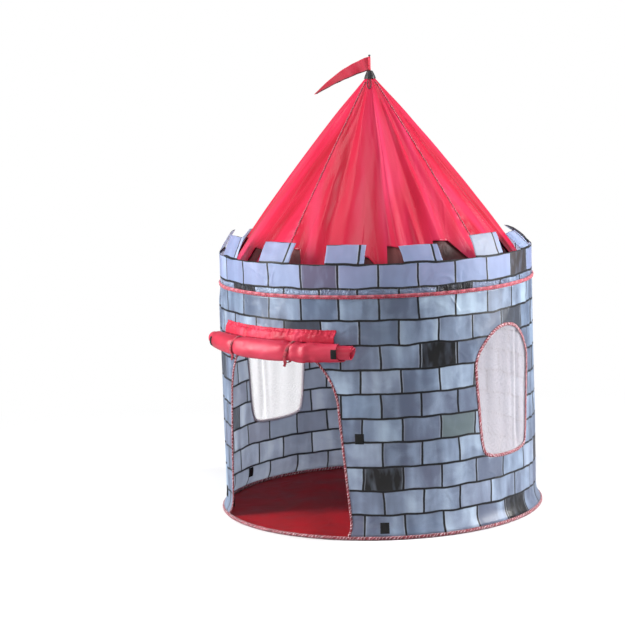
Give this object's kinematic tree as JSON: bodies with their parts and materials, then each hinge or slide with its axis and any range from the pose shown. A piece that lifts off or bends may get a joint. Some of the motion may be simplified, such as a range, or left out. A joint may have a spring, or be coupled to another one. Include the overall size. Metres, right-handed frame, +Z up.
{
  "type": "kids play tent",
  "caption": "Round play tent shaped like a castle tower: stone-printed wall, battlement flaps, cone roof on bent poles, rolled door, netted windows and a pennant.",
  "frame": {"origin": "centre of the floor's underside", "axes": "+Z up; the doorway faces -Y"},
  "size_m": [0.989, 1.0344, 1.374],
  "materials": {
    "stone_cloth": "smooth printed polyester",
    "roof_cloth": "glossy crimson polyester",
    "door_cloth": "red polyester",
    "flag_cloth": "red polyester",
    "floor_cloth": "dark red polyester",
    "red_tape": "woven binding tape",
    "black_tape": "hook-and-loop tape",
    "black_plastic": "moulded, fine grain",
    "glass_fibre": "pultruded rod",
    "spring_steel": "drawn wire",
    "netting": "fine white mesh"
  },
  "bodies": {
    "tent": {"floor_sheet": "floor_cloth", "base_hoop": "spring_steel", "base_hem": "red_tape", "wall_panel": "stone_cloth", "doorway_binding": "red_tape", "window_right_net": "netting", "window_left_net": "netting", "window_right_binding": "red_tape", "window_left_binding": "red_tape", "wall_patch_upper": "black_tape", "wall_patch_right": "black_tape", "wall_patch_left": "black_tape", "wall_patch_inner": "black_tape", "top_hoop": "spring_steel", "hoop_piping": "red_tape", "battlement_band": "stone_cloth", "apex_hub": "black_plastic", "apex_cap": "black_plastic", "apex_loop": "black_tape", "flag_pole": "black_plastic", "roof_gore_1": "roof_cloth", "wall_pole_1": "glass_fibre", "roof_pole_1": "glass_fibre", "pole_elbow_1": "black_plastic", "pole_cup_1": "black_plastic", "roof_gore_2": "roof_cloth", "wall_pole_2": "glass_fibre", "roof_pole_2": "glass_fibre", "pole_elbow_2": "black_plastic", "pole_cup_2": "black_plastic", "roof_gore_3": "roof_cloth", "wall_pole_3": "glass_fibre", "roof_pole_3": "glass_fibre", "pole_elbow_3": "black_plastic", "pole_cup_3": "black_plastic", "roof_gore_4": "roof_cloth", "wall_pole_4": "glass_fibre", "roof_pole_4": "glass_fibre", "pole_elbow_4": "black_plastic", "pole_cup_4": "black_plastic"},
    "flag": {"flag": "flag_cloth"},
    "rolled_door": {"door_header": "door_cloth", "door_roll": "door_cloth", "door_tie_left": "red_tape", "door_tie_right": "red_tape", "roll_patch_left": "black_tape", "roll_patch_right": "black_tape"},
    "flap_01": {"merlon_01": "stone_cloth"},
    "flap_02": {"merlon_02": "stone_cloth"},
    "flap_03": {"merlon_03": "stone_cloth"},
    "flap_04": {"merlon_04": "stone_cloth"},
    "flap_05": {"merlon_05": "stone_cloth"},
    "flap_06": {"merlon_06": "stone_cloth"},
    "flap_07": {"merlon_07": "stone_cloth"},
    "flap_08": {"merlon_08": "stone_cloth"},
    "flap_09": {"merlon_09": "stone_cloth"},
    "flap_10": {"merlon_10": "stone_cloth"},
    "flap_11": {"merlon_11": "stone_cloth"},
    "flap_12": {"merlon_12": "stone_cloth"},
    "flap_13": {"merlon_13": "stone_cloth"}
  },
  "joints": [
    {"name": "flag_swivel", "type": "hinge", "parent": "tent", "child": "flag", "pos_m": [0, 0, 1.35], "axis": [0, 0, 1], "continuous": true},
    {"name": "rolled_door_swing", "type": "hinge", "parent": "tent", "child": "rolled_door", "pos_m": [0, -0.4753, 0.604], "axis": [-1, 0, 0], "range_deg": [0, 60]},
    {"name": "flap_01_fold", "type": "hinge", "parent": "tent", "child": "flap_01", "pos_m": [0.02061, -0.47207, 0.7939], "axis": [-0.999, -0.0436, 0], "range_deg": [-112, 38], "stiffness_Nm_per_rad": 0.1},
    {"name": "flap_02_fold", "type": "hinge", "parent": "tent", "child": "flap_02", "pos_m": [0.23763, -0.40842, 0.7939], "axis": [-0.8643, -0.5029, 0], "range_deg": [-119, 31], "stiffness_Nm_per_rad": 0.1},
    {"name": "flap_03_fold", "type": "hinge", "parent": "tent", "child": "flap_03", "pos_m": [0.40022, -0.25121, 0.7939], "axis": [-0.5316, -0.847, 0], "range_deg": [-128, 22], "stiffness_Nm_per_rad": 0.1},
    {"name": "flap_04_fold", "type": "hinge", "parent": "tent", "child": "flap_04", "pos_m": [0.47111, -0.03644, 0.7939], "axis": [-0.0771, -0.997, 0], "range_deg": [-102, 48], "stiffness_Nm_per_rad": 0.1},
    {"name": "flap_05_fold", "type": "hinge", "parent": "tent", "child": "flap_05", "pos_m": [0.43409, 0.18667, 0.7939], "axis": [0.3951, -0.9187, 0], "range_deg": [-125, 25], "stiffness_Nm_per_rad": 0.1},
    {"name": "flap_06_fold", "type": "hinge", "parent": "tent", "child": "flap_06", "pos_m": [0.29761, 0.36702, 0.7939], "axis": [0.7767, -0.6298, 0], "range_deg": [-126, 24], "stiffness_Nm_per_rad": 0.1},
    {"name": "flap_07_fold", "type": "hinge", "parent": "tent", "child": "flap_07", "pos_m": [0.09296, 0.46329, 0.7939], "axis": [0.9805, -0.1967, 0], "range_deg": [-116, 34], "stiffness_Nm_per_rad": 0.1},
    {"name": "flap_08_fold", "type": "hinge", "parent": "tent", "child": "flap_08", "pos_m": [-0.13299, 0.45342, 0.7939], "axis": [0.9596, 0.2814, 0], "range_deg": [-108, 42], "stiffness_Nm_per_rad": 0.1},
    {"name": "flap_09_fold", "type": "hinge", "parent": "tent", "child": "flap_09", "pos_m": [-0.32847, 0.33968, 0.7939], "axis": [0.7189, 0.6951, 0], "range_deg": [-120, 30], "stiffness_Nm_per_rad": 0.1},
    {"name": "flap_10_fold", "type": "hinge", "parent": "tent", "child": "flap_10", "pos_m": [-0.4487, 0.14813, 0.7939], "axis": [0.3135, 0.9496, 0], "range_deg": [-113, 37], "stiffness_Nm_per_rad": 0.1},
    {"name": "flap_11_fold", "type": "hinge", "parent": "tent", "child": "flap_11", "pos_m": [-0.46614, -0.07736, 0.7939], "axis": [-0.1637, 0.9865, 0], "range_deg": [-122, 28], "stiffness_Nm_per_rad": 0.1},
    {"name": "flap_12_fold", "type": "hinge", "parent": "tent", "child": "flap_12", "pos_m": [-0.3768, -0.28513, 0.7939], "axis": [-0.6034, 0.7974, 0], "range_deg": [-110, 40], "stiffness_Nm_per_rad": 0.1},
    {"name": "flap_13_fold", "type": "hinge", "parent": "tent", "child": "flap_13", "pos_m": [-0.20113, -0.42758, 0.7939], "axis": [-0.9049, 0.4257, 0], "range_deg": [-104, 46], "stiffness_Nm_per_rad": 0.1}
  ]
}
